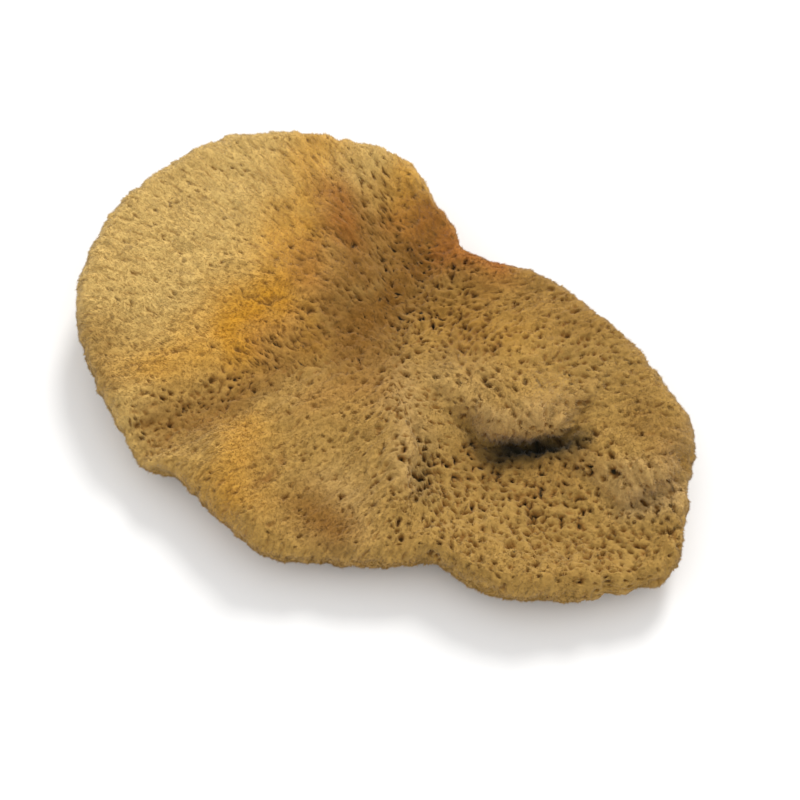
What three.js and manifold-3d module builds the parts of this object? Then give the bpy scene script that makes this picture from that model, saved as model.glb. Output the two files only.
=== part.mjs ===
// A sea sponge of the elephant-ear kind: one thick velvety sheet that fans out from a root at its back edge.
// It lies on its belly. Millimetres, +Z up, +X from the round lobe to the folded lobe, +Y towards the root,
// and the origin is on the resting face under the middle of the sponge.
// Run by Node with the packages three and manifold-3d; the default export is the finished group.

import * as THREE from 'three';
import { mergeVertices } from 'three/addons/utils/BufferGeometryUtils.js';
import Module from 'manifold-3d';

// ---- The sheet -----------------------------------------------------------------------------------------

const SHEET_THICKNESS = 10;
const ROOT_EXTRA_THICKNESS = 5;
const RIM_WIDTH = 5;
const RIM_LIFT = 6;
const RIM_LIFT_POWER = 2.4;
const ROUND_LOBE_LIFT = 5;
const BELLY_SINK = 1.2;
const BELLY_SHARE = 0.45;

// The middle that the rim is measured from, and the root that the sheet grew out of.
const MIDDLE = [0, 6];
const ROOT = [-12, 42];
const ROOT_SPREAD = 20;

// The rim in plan: a direction in degrees (0 is +X, 90 is +Y) and how far the sheet reaches that way.
const RIM = [
  [0, 83], [6, 86], [12, 83], [20, 79], [30, 75], [37, 69], [48, 62], [60, 53], [74, 49], [90, 40],
  [100, 39], [108, 40], [115, 45], [122, 49], [130, 60], [140, 66], [154, 72], [171, 80], [184, 82],
  [197, 83], [211, 80], [229, 73], [244, 67], [252, 65], [257, 60], [270, 58], [286, 59], [300, 55],
  [318, 54], [327, 54], [333, 61], [338, 67], [346, 72], [354, 78],
];

// ---- The relief ----------------------------------------------------------------------------------------

// Long mounds, and valleys where the height is negative, each along a bowed line in plan. A width or a
// height changes evenly from the line's start to its end; bow is how far its middle swings to its left.
const SWELLS = [
  { name: 'gold crest', from: [-40, 22], to: [-34, -44], bow: 5, width: [13, 9], height: [1, 1.8] },
  { name: 'crumpled valley', from: [-17, 2], to: [-25, -56], bow: -1, width: [9, 7], height: [-2, -4.2] },
  { name: 'central hollow', from: [-18, 32], to: [-10, 14], bow: 0, width: [11, 12], height: [-3, -2.5] },
  { name: 'gold mound', from: [-12, -38], to: [9, -48], bow: 0, width: [6, 6], height: [3, 3] },
  { name: 'mound fold', from: [-4, -26], to: [3, -44], bow: 1, width: [3, 4], height: [-1.2, -1.6] },
  { name: 'front hollow', from: [12, -24], to: [24, -42], bow: 0, width: [8, 9], height: [-1, -1.6] },
  { name: 'pale ridge', from: [-2, 11], to: [20, -8], bow: 1, width: [9, 9], height: [2.2, 2.6] },
  { name: 'coarse apron', from: [40, 0], to: [72, 6], bow: 0, width: [11, 11], height: [-3, -2.5] },
  { name: 'upper lobe', from: [20, 38], to: [52, 44], bow: 0, width: [14, 14], height: [2.5, 3] },
  { name: 'round lobe crown', from: [-58, 16], to: [-60, -12], bow: 0, width: [22, 22], height: [2, 2] },
  { name: 'notch lump', from: [-26, 48], to: [-22, 46], bow: 0, width: [4, 4], height: [2.5, 2.5] },
];

// Folds: a mound that climbs slowly to a lip and turns down round a nose to the sheet in front.
// facing is the direction that the lip looks, in degrees; bow is how far its ends fall back; nose is how
// far the sheet takes to turn down; lean is how far the lip is carried forward.
const FOLDS = [
  {
    name: 'upper fold', lip: [33, 17.5], facing: -47, length: 15, bow: 5,
    rise: 9, run: 20, nose: 11, lean: 2, crease: 1.5,
  },
  {
    name: 'side fold', lip: [66, 25.5], facing: -29, length: 11, bow: 6,
    rise: 5, run: 12, nose: 9, lean: 1.5, crease: 1,
  },
  {
    name: 'ridge step', lip: [24, -13], facing: 46, length: 14, bow: 1,
    rise: 3, run: 9, nose: 7, lean: 1, crease: 0.5,
  },
];

// Round a nose, as shares of its length ahead of the lip: where the height falls, where the lean is taken
// back, and where the crease lies and how wide it is. The lean fades behind the lip over a share of the run.
const NOSE_DROP = [-0.35, 0.65];
const NOSE_TUCK = [-0.05, 0.6];
const CREASE_PLACE = 0.6;
const CREASE_WIDTH = 0.25;
const LEAN_RUN = 0.8;

// ---- How it is meshed and coloured ---------------------------------------------------------------------

const CELLS = 46;
const RIM_CELL_SHARE = 0.2;
const COLOUR = 0xb08a4c;
const ROUGHNESS = 0.95;
const CUTTER_SIZE = 400;
const MERGE_DISTANCE = 0.001;

const radians = THREE.MathUtils.degToRad;
const bell = (distance, width) => Math.exp(-((distance / width) ** 2));

// How far the sheet reaches in a direction: a closed cubic through the rim's points, with each point's
// slope taken from its two neighbours.
function reach(direction) {
  const turn = THREE.MathUtils.euclideanModulo(direction, 360);
  const count = RIM.length;
  const at = (i) => {
    const [angle, distance] = RIM[THREE.MathUtils.euclideanModulo(i, count)];
    return [angle + 360 * Math.floor(i / count), distance];
  };
  const slope = (i) => (at(i + 1)[1] - at(i - 1)[1]) / (at(i + 1)[0] - at(i - 1)[0]);
  const next = RIM.findIndex(([angle]) => angle > turn);
  const i = next < 0 ? count - 1 : next - 1;
  const [startAngle, start] = at(i);
  const [endAngle, end] = at(i + 1);
  const span = endAngle - startAngle;
  const t = (turn - startAngle) / span;
  const rest = 1 - t;
  return (
    rest * rest * (1 + 2 * t) * start +
    t * t * (3 - 2 * t) * end +
    t * rest * rest * span * slope(i) -
    t * t * rest * span * slope(i + 1)
  );
}

// The height that a swell adds: a bell of the distance to its line, which bows sideways as a parabola.
function swellHeight({ from, to, bow, width, height }, x, y) {
  const along = new THREE.Vector2(to[0] - from[0], to[1] - from[1]);
  const offset = new THREE.Vector2(x - from[0], y - from[1]);
  const share = THREE.MathUtils.clamp(offset.dot(along) / along.lengthSq(), 0, 1);
  const left = new THREE.Vector2(-along.y, along.x).setLength(4 * bow * share * (1 - share));
  const distance = offset.addScaledVector(along, -share).sub(left).length();
  const wide = THREE.MathUtils.lerp(width[0], width[1], share);
  return THREE.MathUtils.lerp(height[0], height[1], share) * bell(distance, wide);
}

// A fold's height and its lean over the sheet. Behind the lip both are wide bells. In front, the height
// falls by a smooth step and the lean by a later one, so the sheet turns down round a nose to a narrow
// crease.
function foldShape({ lip, facing, length, bow, rise, run, nose, lean, crease }, x, y) {
  const aim = new THREE.Vector2(Math.cos(radians(facing)), Math.sin(radians(facing)));
  const offset = new THREE.Vector2(x - lip[0], y - lip[1]);
  const side = aim.cross(offset);
  const front = aim.dot(offset) + bow * (side / length) ** 2;
  const ends = bell(side, length);
  const behind = Math.min(front, 0);
  const down = 1 - THREE.MathUtils.smoothstep(front, NOSE_DROP[0] * nose, NOSE_DROP[1] * nose);
  const back = 1 - THREE.MathUtils.smoothstep(front, NOSE_TUCK[0] * nose, NOSE_TUCK[1] * nose);
  const mound = rise * down * bell(behind, run);
  const furrow = crease * bell(front - CREASE_PLACE * nose, CREASE_WIDTH * nose);
  const hang = ends * lean * back * bell(behind, LEAN_RUN * run);
  return { height: ends * (mound - furrow), leanX: hang * aim.x, leanY: hang * aim.y };
}

// A point of the upper or lower skin. The square -1..1 by -1..1 is carried to the sheet ring by ring,
// so no grid line ends at a pole; the outer rings turn a quarter circle round the rim.
function skinPoint(a, b, upper) {
  const ring = Math.max(Math.abs(a), Math.abs(b));
  let turn = 0;
  if (ring > 0) {
    turn = Math.abs(a) > Math.abs(b) ? 45 * (b / a) : 90 - 45 * (a / b);
    if (Math.abs(a) > Math.abs(b) ? a < 0 : b < 0) {
      turn += 180;
    }
  }
  const full = reach(turn);
  const flatShare = 1 - RIM_CELL_SHARE;
  const rimTurn = (Math.max(ring - flatShare, 0) / RIM_CELL_SHARE) * (Math.PI / 2);
  const flat = Math.min(ring / flatShare, 1) * (full - RIM_WIDTH);
  const distance = flat + RIM_WIDTH * Math.sin(rimTurn);
  const body = Math.cos(rimTurn);
  const x = MIDDLE[0] + distance * Math.cos(radians(turn));
  const y = MIDDLE[1] + distance * Math.sin(radians(turn));

  const folds = FOLDS.map((fold) => foldShape(fold, x, y));
  const relief =
    SWELLS.reduce((sum, swell) => sum + swellHeight(swell, x, y), 0) +
    folds.reduce((sum, fold) => sum + fold.height, 0);
  const rootShare = bell(Math.hypot(x - ROOT[0], y - ROOT[1]), ROOT_SPREAD);
  const half = (SHEET_THICKNESS + ROOT_EXTRA_THICKNESS * rootShare) / 2;
  const lobe = ROUND_LOBE_LIFT * THREE.MathUtils.smoothstep(-x, 0, 80);
  const saucer = (RIM_LIFT + lobe) * (distance / full) ** RIM_LIFT_POWER;
  const middle = SHEET_THICKNESS / 2 - BELLY_SINK + saucer + BELLY_SHARE * relief;
  if (!upper) {
    return new THREE.Vector3(x, y, middle - half * body);
  }
  const leanX = folds.reduce((sum, fold) => sum + fold.leanX, 0) * body;
  const leanY = folds.reduce((sum, fold) => sum + fold.leanY, 0) * body;
  const rise = (half + (1 - BELLY_SHARE) * relief) * body;
  return new THREE.Vector3(x + leanX, y + leanY, middle + rise);
}

// One skin as a grid of triangles. The lower skin is wound the other way, so both face out.
function skinTriangles(upper) {
  const corner = (i, j) => skinPoint((2 * i) / CELLS - 1, (2 * j) / CELLS - 1, upper);
  const triangles = [];
  for (let i = 0; i < CELLS; i += 1) {
    for (let j = 0; j < CELLS; j += 1) {
      const [p, q, r, s] = [corner(i, j), corner(i + 1, j), corner(i + 1, j + 1), corner(i, j + 1)];
      const inward = (i < CELLS / 2) === (j < CELLS / 2);
      const cell = inward ? [p, q, r, p, r, s] : [p, q, s, q, r, s];
      triangles.push(...(upper ? cell : cell.reverse()));
    }
  }
  return triangles;
}

// A closed three.js geometry, with only its positions left and its shared corners merged, as a solid.
function toSolid(wasm, geometry) {
  geometry.deleteAttribute('normal');
  geometry.deleteAttribute('uv');
  const merged = mergeVertices(geometry, MERGE_DISTANCE);
  return new wasm.Manifold(new wasm.Mesh({
    numProp: 3,
    vertProperties: new Float32Array(merged.attributes.position.array),
    triVerts: new Uint32Array(merged.index.array),
  }));
}

function toGeometry(solid) {
  const mesh = solid.getMesh();
  const geometry = new THREE.BufferGeometry();
  geometry.setAttribute('position', new THREE.BufferAttribute(mesh.vertProperties, mesh.numProp));
  geometry.setIndex(new THREE.BufferAttribute(mesh.triVerts, 1));
  return geometry;
}

// The two skins closed at the rim, less everything under the surface it lies on, moved so that the
// origin is under the middle of its outline.
function spongeGeometry(wasm) {
  const sheet = new THREE.BufferGeometry().setFromPoints([...skinTriangles(true), ...skinTriangles(false)]);
  const cutter = new THREE.BoxGeometry(CUTTER_SIZE, CUTTER_SIZE, CUTTER_SIZE);
  cutter.translate(0, 0, -CUTTER_SIZE / 2);
  const geometry = toGeometry(toSolid(wasm, sheet).subtract(toSolid(wasm, cutter)));
  geometry.computeBoundingBox();
  const centre = geometry.boundingBox.getCenter(new THREE.Vector3());
  geometry.translate(-centre.x, -centre.y, 0);
  geometry.computeVertexNormals();
  return geometry;
}

const wasm = await Module();
wasm.setup();

const material = new THREE.MeshStandardMaterial({ color: COLOUR, roughness: ROUGHNESS, metalness: 0 });
material.name = 'sponge';
const sponge = new THREE.Mesh(spongeGeometry(wasm), material);
sponge.name = 'sponge';

const part = new THREE.Group();
part.add(sponge);
export default part;
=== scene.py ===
"""The finish of a dried elephant-ear sea sponge: its skin with pores and folds, and the pile of fibres on it.

The sponge's shape is worked out in millimetres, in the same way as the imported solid's, and then put in the
frame in metres. +X runs from the round lobe to the folded lobe, +Y towards the root, and z = 0 is what it
lies on. Every skin has two parameters a and b from -1 to 1, a place x, y, z, and a place u, v in the sheet
unrolled flat, so that pores, stains and fibres don't stretch where the sheet turns over at its rim.
"""
import collections
import itertools
import math

import bpy
import numpy as np
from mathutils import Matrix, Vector


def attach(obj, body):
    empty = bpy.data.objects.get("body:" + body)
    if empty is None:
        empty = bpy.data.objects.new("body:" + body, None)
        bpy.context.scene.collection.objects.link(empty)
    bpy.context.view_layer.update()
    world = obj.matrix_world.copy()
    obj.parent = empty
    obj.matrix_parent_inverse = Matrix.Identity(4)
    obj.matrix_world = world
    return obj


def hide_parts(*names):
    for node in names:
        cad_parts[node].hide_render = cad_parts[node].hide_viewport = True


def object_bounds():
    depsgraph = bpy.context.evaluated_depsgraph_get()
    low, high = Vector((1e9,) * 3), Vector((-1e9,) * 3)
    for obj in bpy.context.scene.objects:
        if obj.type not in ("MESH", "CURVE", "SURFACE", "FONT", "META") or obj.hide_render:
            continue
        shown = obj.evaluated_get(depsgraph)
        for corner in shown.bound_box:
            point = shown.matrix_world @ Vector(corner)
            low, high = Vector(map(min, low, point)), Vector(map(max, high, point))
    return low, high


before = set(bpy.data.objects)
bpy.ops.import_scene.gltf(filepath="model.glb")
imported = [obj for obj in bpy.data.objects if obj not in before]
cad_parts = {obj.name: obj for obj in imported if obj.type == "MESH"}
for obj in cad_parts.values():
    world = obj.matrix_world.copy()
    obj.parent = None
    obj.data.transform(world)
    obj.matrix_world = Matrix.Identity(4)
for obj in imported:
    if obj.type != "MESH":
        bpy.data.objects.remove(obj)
solid_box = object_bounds()

MM = 0.001

# ---- The sheet, as the solid has it (millimetres) ----

SHEET_THICKNESS = 10.0
ROOT_EXTRA_THICKNESS = 5.0
RIM_WIDTH = 5.0
RIM_LIFT = 6.0
RIM_LIFT_POWER = 2.4
ROUND_LOBE_LIFT = 5.0
BELLY_SINK = 1.2
BELLY_SHARE = 0.45
MIDDLE = (0.0, 6.0)
ROOT = (-12.0, 42.0)
ROOT_SPREAD = 20.0
RIM_CELL_SHARE = 0.2

# The rim in plan: a direction in degrees and how far the sheet reaches that way.
RIM = np.array([
    (0, 83), (6, 86), (12, 83), (20, 79), (30, 75), (37, 69), (48, 62), (60, 53), (74, 49), (90, 40),
    (100, 39), (108, 40), (115, 45), (122, 49), (130, 60), (140, 66), (154, 72), (171, 80), (184, 82),
    (197, 83), (211, 80), (229, 73), (244, 67), (252, 65), (257, 60), (270, 58), (286, 59), (300, 55),
    (318, 54), (327, 54), (333, 61), (338, 67), (346, 72), (354, 78),
], float)

# Long mounds and valleys, each along a bowed line: from, to, bow, width at its ends, height at its ends.
SWELLS = {
    "gold crest": ((-40, 22), (-34, -44), 5, (13, 9), (1.0, 1.8)),
    "crumpled valley": ((-17, 2), (-25, -56), -1, (9, 7), (-2.0, -4.2)),
    "central hollow": ((-18, 32), (-10, 14), 0, (11, 12), (-3, -2.5)),
    "gold mound": ((-12, -38), (9, -48), 0, (6, 6), (3, 3)),
    "mound fold": ((-4, -26), (3, -44), 1, (3, 4), (-1.2, -1.6)),
    "front hollow": ((12, -24), (24, -42), 0, (8, 9), (-1, -1.6)),
    "pale ridge": ((-2, 11), (20, -8), 1, (9, 9), (2.2, 2.6)),
    "coarse apron": ((40, 0), (72, 6), 0, (11, 11), (-3, -2.5)),
    "upper lobe": ((20, 38), (52, 44), 0, (14, 14), (2.5, 3)),
    "round lobe crown": ((-58, 16), (-60, -12), 0, (22, 22), (2, 2)),
    "notch lump": ((-26, 48), (-22, 46), 0, (4, 4), (2.5, 2.5)),
}

# Folds: a mound that climbs slowly to a lip, turns down round a nose and hangs over the sheet in front of it.
# facing is where the lip looks, in degrees; bow is how far its ends fall back; run and nose are how far the
# climb and the turn take; lean is how far it hangs over; crease is how deep its crease is.
FOLDS = {
    "upper fold": dict(lip=(33, 17.5), facing=-47, length=13.5, bow=5, rise=8.5, run=20, nose=10, lean=6.5,
                       crease=3),
    "side fold": dict(lip=(66, 25.5), facing=-29, length=11, bow=6, rise=4.5, run=12, nose=9, lean=2,
                      crease=1),
    "ridge step": dict(lip=(24, -13), facing=46, length=14, bow=1, rise=3, run=9, nose=7, lean=2, crease=1),
}

# Shares of the nose ahead of the lip: where the height falls, where the lean is taken back, and where the
# crease lies and how wide it is. Behind the lip the lean fades over a share of the run.
NOSE_DROP = (-0.35, 0.65)
NOSE_TUCK = (-0.05, 0.6)
CREASE_PLACE = 0.6
CREASE_WIDTH = 0.25
LEAN_RUN = 0.8

# The lips wander to and fro by this much, over cells of this size.
LIP_WANDER = 2.0
LIP_WANDER_SIZE = 6.0

# ---- How it grew ----

# The fibres run away from the root and from the middle of each lobe: place and strength.
GROWTH_CENTRES = (
    ((-12, 46), 1.5), ((-18, 16), 1.0), ((-40, 4), 1.0), ((14, 18), 1.0), ((42, 21), 1.2), ((64, 30), 0.5),
)
GROWTH_CORE = 20.0
STREAK_SAMPLES = 9

# ---- Meshing ----

UPPER_CELLS = 280
LOWER_CELLS = UPPER_CELLS // 2
PLAIN_CELLS = 92
CELL_CROWDING = 0.18
UPPER_PILE_SETS = 4
LOWER_PILE_SETS = 2
FIBRES_A_SET = 41000

Skin = collections.namedtuple("Skin", "points normals flow u v edge a b")


def bell(distance, width):
    """1 at no distance, falling as a Gaussian of that width."""
    return np.exp(-(distance / width) ** 2)


def ramp(value, low, high):
    """0 below low, 1 above high, and a smooth step between."""
    t = np.clip((value - low) / (high - low), 0.0, 1.0)
    return t * t * (3.0 - 2.0 * t)


def blend(pair, share):
    """From the pair's first value to its second."""
    return pair[0] + (pair[1] - pair[0]) * share


def hashed(i, j, k, seed):
    """A fixed random number from 0 to 1 for each whole-number triple, by mixing the bits of the three."""
    h = (i.astype(np.int64) * 374761393 + j.astype(np.int64) * 668265263 + k.astype(np.int64) * 2147483647
         + seed * 1274126177) & 0xFFFFFFFF
    h = ((h ^ (h >> 13)) * 1103515245) & 0xFFFFFFFF
    h = ((h ^ (h >> 16)) * 2654435761) & 0xFFFFFFFF
    h = (h ^ (h >> 15)) & 0xFFFFFFFF
    return h / 4294967295.0


def noise(places, size, seed):
    """Smooth noise from -1 to 1, in the sheet or in space: random values at the corners of each place's cell,
    mixed by smooth steps along each axis."""
    cells = [np.floor(place / size) for place in places]
    shares = [ramp(place / size - cell, 0.0, 1.0) for place, cell in zip(places, cells)]
    flat = [np.zeros_like(cells[0])] * (3 - len(cells))
    total = 0.0
    for steps in itertools.product((0, 1), repeat=len(cells)):
        weight = math.prod(share if step else 1 - share for share, step in zip(shares, steps))
        corner = [cell + step for cell, step in zip(cells, steps)]
        total = total + weight * hashed(*corner, *flat, seed)
    return 2.0 * total - 1.0


def flat_noise(u, v, size, seed):
    """The same noise in the unrolled sheet."""
    return noise((u, v), size, seed)


def layered(u, v, size, seed, layers=3):
    """Flat noise in several layers, each half the size and strength of the one before."""
    shares = [0.5 ** layer for layer in range(layers)]
    total = sum(s * flat_noise(u, v, size * s, seed + 17 * n) for n, s in enumerate(shares))
    return total / sum(shares)


def wander(u, v, amount, size, seed):
    """Moves places in the sheet to and fro by flat noise, so that what is drawn there has wandering edges."""
    return u + amount * flat_noise(u, v, size, seed), v + amount * flat_noise(u, v, size, seed + 1)


def growth(u, v):
    """The unit direction in the sheet in which it grew: a sum of pushes away from the growth centres,
    each falling with distance."""
    gu, gv = np.zeros_like(u), np.zeros_like(v)
    for (cu, cv), strength in GROWTH_CENTRES:
        du, dv = u - cu, v - cv
        push = strength / (du * du + dv * dv + GROWTH_CORE)
        gu += push * du
        gv += push * dv
    length = np.hypot(gu, gv) + 1e-9
    return gu / length, gv / length


def streaks(u, v, size, length, seed):
    """Noise drawn out along the growth: twice its mean at places evenly along a line through the point."""
    gu, gv = growth(u, v)
    steps = np.linspace(-0.5, 0.5, STREAK_SAMPLES) * length
    total = sum(flat_noise(u + s * gu, v + s * gv, size, seed) for s in steps)
    return np.clip(total / len(steps) * 2.0, -1.0, 1.0)


def stroke(u, v, start, end, width, bow=0.0):
    """1 on a bowed line and falling as a bell of the distance to it; the distance; the share along the line.
    The line bows out to its left by a parabola of the share, 1 in the middle and 0 at the ends."""
    au, av = end[0] - start[0], end[1] - start[1]
    du, dv = u - start[0], v - start[1]
    length = math.hypot(au, av)
    share = np.clip((du * au + dv * av) / length ** 2, 0.0, 1.0)
    left = 4.0 * bow * share * (1.0 - share) / length
    distance = np.hypot(du - share * au + left * av, dv - share * av - left * au)
    return bell(distance, width), distance, share


# ---- The sheet's shape ----

def swell_height(x, y, swell):
    """A bell of the distance to the swell's line, its width and height changing evenly along it."""
    start, end, bow, width, height = swell
    _, distance, share = stroke(x, y, start, end, 1.0, bow)
    return blend(height, share) * bell(distance, blend(width, share))


def fold_front(x, y, fold):
    """How far a place is in front of the fold's lip, and a bell that fades at the lip's ends."""
    facing = math.radians(fold["facing"])
    dx, dy = x - fold["lip"][0], y - fold["lip"][1]
    side = dy * math.cos(facing) - dx * math.sin(facing)
    front = dx * math.cos(facing) + dy * math.sin(facing) + fold["bow"] * (side / fold["length"]) ** 2
    return front + LIP_WANDER * flat_noise(x, y, LIP_WANDER_SIZE, 5), bell(side, fold["length"])


def fold_shape(x, y, fold):
    """Height and lean of a fold. Behind the lip both are wide bells. In front, the height falls by a smooth
    step and the lean by a later one, so the sheet turns down round a nose and back under it to a crease."""
    front, ends = fold_front(x, y, fold)
    nose, lean = fold["nose"], fold["lean"]
    down = 1.0 - ramp(front, NOSE_DROP[0] * nose, NOSE_DROP[1] * nose)
    back = 1.0 - ramp(front, NOSE_TUCK[0] * nose, NOSE_TUCK[1] * nose)
    behind = np.minimum(front, 0.0)
    mound = down * bell(behind, fold["run"])
    hang = ends * lean * back * bell(behind, LEAN_RUN * fold["run"])
    crease = bell(front - CREASE_PLACE * nose, CREASE_WIDTH * nose)
    height = ends * (fold["rise"] * mound - fold["crease"] * crease)
    facing = math.radians(fold["facing"])
    return height, hang * math.cos(facing), hang * math.sin(facing)


def reach(turn):
    """How far the sheet reaches in a direction in degrees: a closed cubic through the rim's points, with each
    point's slope taken from its two neighbours."""
    angle = np.concatenate([RIM[-2:, 0] - 360, RIM[:, 0], RIM[:3, 0] + 360])
    far = np.concatenate([RIM[-2:, 1], RIM[:, 1], RIM[:3, 1]])
    slope = (far[2:] - far[:-2]) / (angle[2:] - angle[:-2])
    i = np.clip(np.searchsorted(angle, turn, side="right") - 1, 1, len(angle) - 3)
    span = angle[i + 1] - angle[i]
    t = (turn - angle[i]) / span
    rest = 1 - t
    return (rest ** 2 * (1 + 2 * t) * far[i] + t ** 2 * (3 - 2 * t) * far[i + 1]
            + t * rest ** 2 * span * slope[i - 1] - t ** 2 * rest * span * slope[i])


def plan(a, b):
    """Carries the square -1..1 by -1..1 to the sheet ring by ring, so no grid line ends at a pole; the outer
    rings turn a quarter circle round the rim. Gives the place in plan, the place in the unrolled sheet, where
    the quarter circle is laid out flat, the share of the thickness, and the share of the reach."""
    ring = np.maximum(np.abs(a), np.abs(b))
    wide = np.abs(a) > np.abs(b)
    safe_a, safe_b = np.where(wide, a, 1.0), np.where(wide | (b == 0), 1.0, b)
    turn = np.where(wide, 45 * b / safe_a, 90 - 45 * a / safe_b)
    turn = (turn + np.where(np.where(wide, a < 0, b < 0), 180, 0)) % 360
    full = reach(turn)
    flat_share = 1 - RIM_CELL_SHARE
    rim_turn = np.maximum(ring - flat_share, 0) / RIM_CELL_SHARE * (math.pi / 2)
    flat = np.minimum(ring / flat_share, 1) * (full - RIM_WIDTH)
    across, up = np.cos(np.radians(turn)), np.sin(np.radians(turn))
    distance = flat + RIM_WIDTH * np.sin(rim_turn)
    unrolled = flat + RIM_WIDTH * rim_turn
    return (MIDDLE[0] + distance * across, MIDDLE[1] + distance * up,
            MIDDLE[0] + unrolled * across, MIDDLE[1] + unrolled * up, np.cos(rim_turn), distance / full)


def relief(x, y):
    """The summed height and lean of the swells and folds."""
    height, lean_x, lean_y = np.zeros_like(x), np.zeros_like(x), np.zeros_like(x)
    for swell in SWELLS.values():
        height += swell_height(x, y, swell)
    for fold in FOLDS.values():
        rise, fx, fy = fold_shape(x, y, fold)
        height, lean_x, lean_y = height + rise, lean_x + fx, lean_y + fy
    return height, lean_x, lean_y


def skin_points(a, b, upper):
    """The upper or lower skin of the sheet, as the solid has it, before any fine relief."""
    x, y, _, _, body, share = plan(a, b)
    height, lean_x, lean_y = relief(x, y)
    root = bell(np.hypot(x - ROOT[0], y - ROOT[1]), ROOT_SPREAD)
    half = (SHEET_THICKNESS + ROOT_EXTRA_THICKNESS * root) / 2
    saucer = (RIM_LIFT + ROUND_LOBE_LIFT * ramp(-x, 0, 80)) * share ** RIM_LIFT_POWER
    middle = SHEET_THICKNESS / 2 - BELLY_SINK + saucer + BELLY_SHARE * height
    if not upper:
        return np.stack([x, y, np.maximum(middle - half * body, 0.0)], -1)
    rise = (half + (1 - BELLY_SHARE) * height) * body
    return np.stack([x + lean_x * body, y + lean_y * body, middle + rise], -1)


def lay_grid(cells):
    """A grid over the square -1..1 by -1..1, its lines crowded towards the folded lobe."""
    steps = np.linspace(-1.0, 1.0, cells + 1)
    crowded = steps + CELL_CROWDING * (1.0 - steps ** 2)
    return np.meshgrid(crowded, steps, indexing="ij")


def plan_shift():
    """How far the solid's middle is from the sheet's in plan, from the box of a plain grid of the sheet."""
    points = skin_points(*lay_grid(PLAIN_CELLS), True)
    low, high = points.min((0, 1)), points.max((0, 1))
    solid_low, solid_high = (np.array(corner) / MM for corner in solid_box)
    return ((solid_low + solid_high) / 2 - (low + high) / 2) * np.array([1.0, 1.0, 0.0])


SHIFT = plan_shift()


def to_metres(points):
    """Points in the sheet's own millimetres, put in the frame."""
    return (points + SHIFT) * MM


# ---- Where it is velvety or coarse ----

# Soft strokes in the sheet: start, end, width, strength.
COARSE = (((38, -5), (74, 6), 16, 1.2), ((32, 2), (40, -14), 9, 1.0), ((84, 8), (84, 16), 10, 0.7),
          ((40, 14), (56, 24), 5, 0.9))
CLOSE = (((-34, 32), (-6, 28), 13, 1.1), ((-18, 30), (-14, 4), 13, 1.1), ((-14, 24), (14, 30), 11, 0.9),
         ((-34, 14), (-24, 4), 7, 0.7), ((-20, 8), (-23, -44), 7, 0.95), ((2, 8), (14, 4), 9, 0.7),
         ((18, 47), (34, 40), 9, 0.5))
MIDDLING = (((0, -18), (16, -30), 16, 0.75), ((-8, 0), (4, -14), 12, 0.6), ((30, 44), (60, 40), 14, 0.4),
            ((14, -4), (22, -14), 8, 0.5))
# Where the painted shade in the pores is darkest: start, end, width, strength.
DARKEST_PORE_SHADE = (((24, -2), (54, 14), 9, 1.0), ((-18, 26), (-8, 18), 9, 0.8),
                 ((-22, -16), (-24, -34), 6, 0.4))
REGION_WANDER, REGION_WANDER_SIZE = 4.0, 14.0

# How close-pored and velvety the lower skin is. Between two shares of the reach it comes to match the upper.
UNDER_CLOSE, UNDER_VELVET = 0.75, 0.25
UNDER_ENDS = (0.8, 0.96)

# Shares of the nose ahead of the lip: where its face comes in and where it goes out.
FACE_START = (-0.9, -0.1)
FACE_END = (0.3, 0.6)
FACE_SPREAD = 1.3

# How much painted shade each crease gets; where it is darkest and how wide, as shares of the nose. The deepest
# stretch of painted shade is a line of its own: start, end, bow, width.
CREASE_SHADE_STRENGTH = (("upper fold", 1.0), ("side fold", 0.2), ("ridge step", 0.3))
SHADE_PLACE, SHADE_WIDTH = 0.85, 0.36
DEEPEST_CREASE_SHADE = ((30, 7), (50, 27), -1.5, 3.3)


def strongest(u, v, strokes):
    """The strongest of several soft strokes at each place."""
    shapes = [strength * stroke(u, v, start, end, width)[0] for start, end, width, strength in strokes]
    return np.max(shapes, 0)


def on_noses(u, v):
    """1 on the folds' noses, falling away behind and below them."""
    total = np.zeros_like(u)
    for name in ("upper fold", "side fold"):
        fold = FOLDS[name]
        front, ends = fold_front(u, v, fold)
        comes_in = ramp(front, *(share * fold["nose"] for share in FACE_START))
        goes_out = ramp(front, *(share * fold["nose"] for share in FACE_END))
        total = np.maximum(total, np.clip(FACE_SPREAD * ends, 0.0, 1.0) * (comes_in * (1 - goes_out)))
    return total


def painted_crease_shade(u, v):
    """Painted shade in the creases under the folds: 1 in the darkest, less in the others, falling away beside
    them.
    """
    total = np.zeros_like(u)
    for name, darkness in CREASE_SHADE_STRENGTH:
        fold = FOLDS[name]
        front, ends = fold_front(u, v, fold)
        shape = bell(front - SHADE_PLACE * fold["nose"], SHADE_WIDTH * fold["nose"])
        total = np.maximum(total, darkness * ends ** 1.6 * shape)
    start, end, bow, width = DEEPEST_CREASE_SHADE
    line, _, share = stroke(u, v, start, end, width, bow)
    return np.maximum(total, line * np.sin(np.pi * share) ** 0.5)


def regions(u, v, edge, upper):
    """How coarse, how close-pored and how velvety the skin is at each place, from 0 to 1. The lower skin is
    evenly close-pored, and takes after the upper one at the rim."""
    pu, pv = wander(u, v, REGION_WANDER, REGION_WANDER_SIZE, 3)
    nose = on_noses(u, v)
    coarse = np.minimum(strongest(pu, pv, COARSE), 1.0) * (1.0 - 0.7 * nose)
    close = np.clip(strongest(pu, pv, CLOSE) - 0.5 * coarse, 0.0, 1.0) * (1.0 - 0.5 * nose)
    velvet = np.clip(1.0 - coarse - 0.9 * close - strongest(pu, pv, MIDDLING), 0.0, 1.0) * (1.0 - 0.7 * nose)
    close = close + 0.35 * nose
    if upper:
        return coarse, close, velvet
    near_rim = ramp(edge, *UNDER_ENDS)
    return coarse * near_rim, blend((UNDER_CLOSE, close), near_rim), blend((UNDER_VELVET, velvet), near_rim)


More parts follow.
